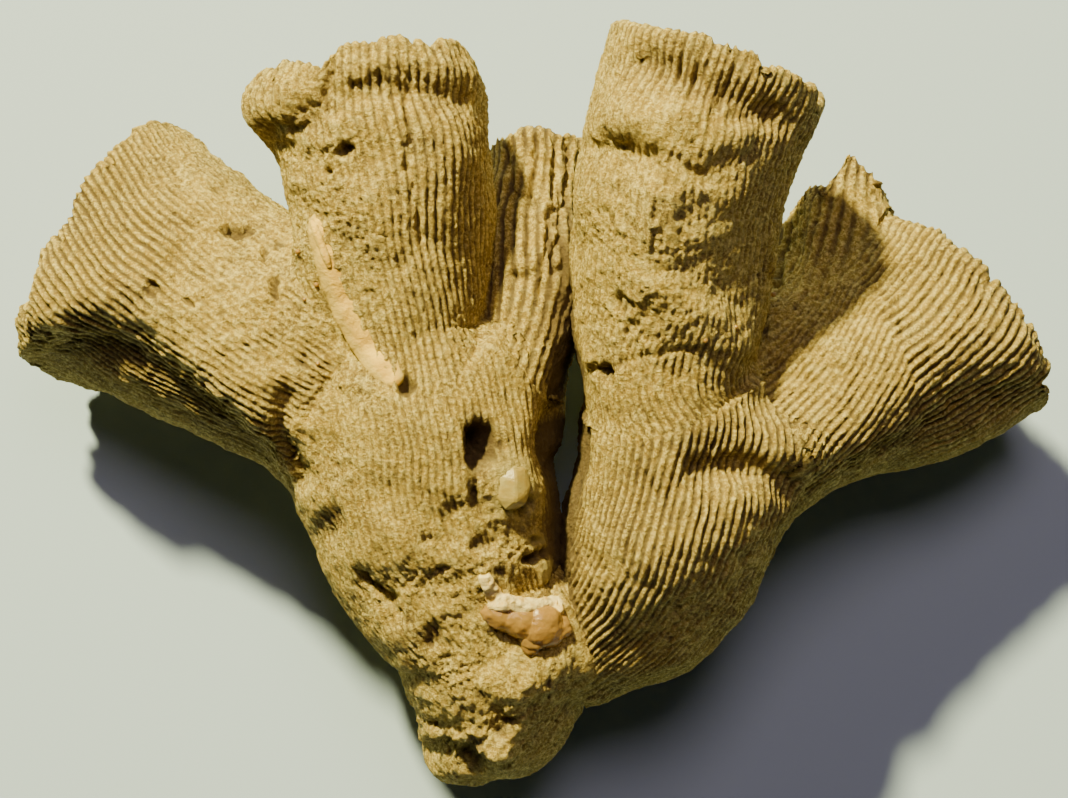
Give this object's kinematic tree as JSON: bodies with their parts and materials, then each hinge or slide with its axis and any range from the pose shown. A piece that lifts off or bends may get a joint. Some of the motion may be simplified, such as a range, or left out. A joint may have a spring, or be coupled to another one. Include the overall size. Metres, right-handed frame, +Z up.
{
  "type": "fossil coral head",
  "caption": "Branching fossil coral head: a broken stub forks into two ribbed trunks that carry flaring, cup-ended corallites; it lies on its back.",
  "frame": {"origin": "on the resting plane, under the middle of the bounding box", "axes": "+X across the spread of branches towards the far right one, +Y from the broken stub towards the cups, +Z up, away from the surface it lies on"},
  "size_m": [0.1205, 0.0878, 0.0451],
  "materials": {
    "coral_stone": "matt weathered limestone, ochre to cream on the crests of the ribs and grey brown in the furrows",
    "glue": "clear amber glue set hard, glossy, with a pale skin of dust"
  },
  "bodies": {
    "root": {"base_stub": "coral_stone", "left_trunk": "coral_stone", "right_trunk": "coral_stone", "far_left_branch": "coral_stone", "upper_left_branch": "coral_stone", "middle_branch": "coral_stone", "upper_right_branch": "coral_stone", "back_right_branch": "coral_stone", "far_right_branch": "coral_stone", "glue_seam": "glue", "glue_drip": "glue"}
  },
  "joints": []
}
